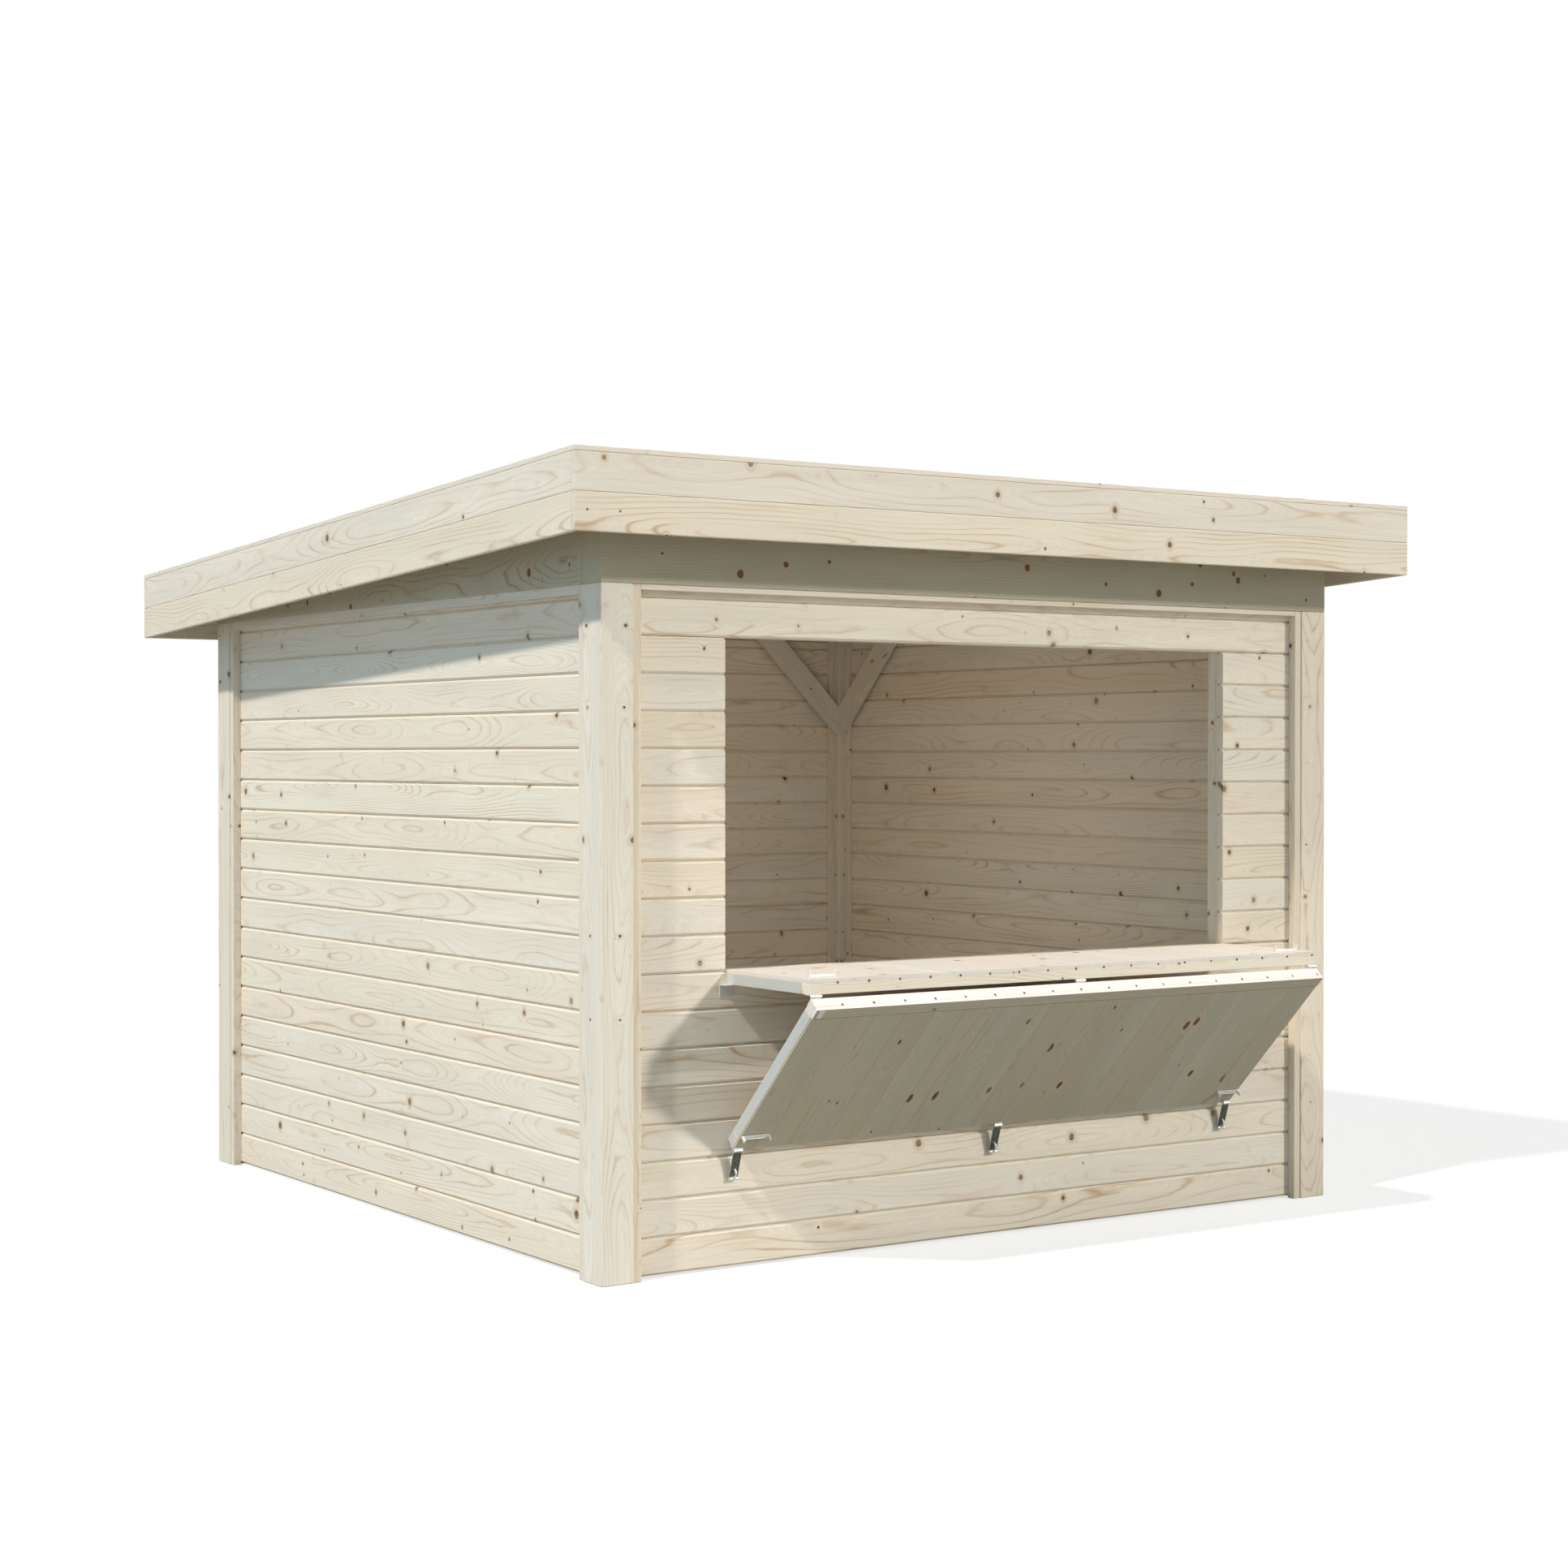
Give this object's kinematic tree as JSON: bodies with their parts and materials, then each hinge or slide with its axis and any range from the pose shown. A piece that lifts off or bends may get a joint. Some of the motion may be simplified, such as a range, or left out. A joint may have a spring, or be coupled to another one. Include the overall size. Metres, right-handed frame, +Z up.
{
  "type": "wooden market stall",
  "caption": "Boarded timber stall with a sloping flat roof, a serving opening, a fixed counter and a hinged leaf below it that leans against the wall.",
  "frame": {"origin": "on the ground, under the middle of the whole stall with its counter and roof overhangs", "axes": "+Z up, the serving opening faces -Y, +X to the right of someone who looks along +Y at the front"},
  "size_m": [3.58, 3.8958, 2.6033],
  "materials": {
    "posts_and_beams": "raw planed spruce",
    "wall_boards": "raw planed spruce",
    "battens": "raw planed spruce",
    "opening_timber": "raw planed spruce",
    "braces": "raw planed spruce",
    "roof_timber": "raw planed spruce",
    "fascia_boards": "raw planed spruce",
    "counter_wood": "raw planed spruce",
    "shutter_wood": "raw planed spruce",
    "zinc_steel": "bright zinc"
  },
  "bodies": {
    "stall": {"front_left_post": "posts_and_beams", "front_right_post": "posts_and_beams", "back_left_post": "posts_and_beams", "back_right_post": "posts_and_beams", "front_beam": "posts_and_beams", "back_beam": "posts_and_beams", "left_side_beam": "posts_and_beams", "right_side_beam": "posts_and_beams", "left_wall": "wall_boards", "right_wall": "wall_boards", "back_wall": "wall_boards", "front_wall_below": "wall_boards", "front_wall_left": "wall_boards", "front_wall_right": "wall_boards", "front_wall_header": "wall_boards", "front_cover_battens": "battens", "left_cover_battens": "battens", "right_cover_battens": "battens", "back_cover_battens": "battens", "inner_corner_battens": "battens", "opening_left_stud": "opening_timber", "opening_right_stud": "opening_timber", "opening_sill_rail": "opening_timber", "opening_head_rail": "opening_timber", "front_left_braces": "braces", "front_right_braces": "braces", "back_left_braces": "braces", "back_right_braces": "braces", "rafters": "roof_timber", "roof_boards": "roof_timber", "fascia_front": "fascia_boards", "fascia_back": "fascia_boards", "fascia_left": "fascia_boards", "fascia_right": "fascia_boards", "roof_edge_trim": "fascia_boards", "counter_top": "counter_wood", "counter_rails": "counter_wood", "counter_brackets": "zinc_steel", "counter_bar_brackets": "zinc_steel", "shutter_hinge_pins": "zinc_steel"},
    "shutter_leaf": {"shutter_panel": "shutter_wood", "shutter_battens": "shutter_wood", "shutter_hinge_leaves": "zinc_steel", "latch_straps": "zinc_steel", "shutter_bar_brackets": "zinc_steel"}
  },
  "joints": [
    {"name": "shutter_hinge", "type": "hinge", "parent": "stall", "child": "shutter_leaf", "pos_m": [0, -1.91208, 0.92], "axis": [-1, 0, 0], "range_deg": [0, 134.31]}
  ]
}
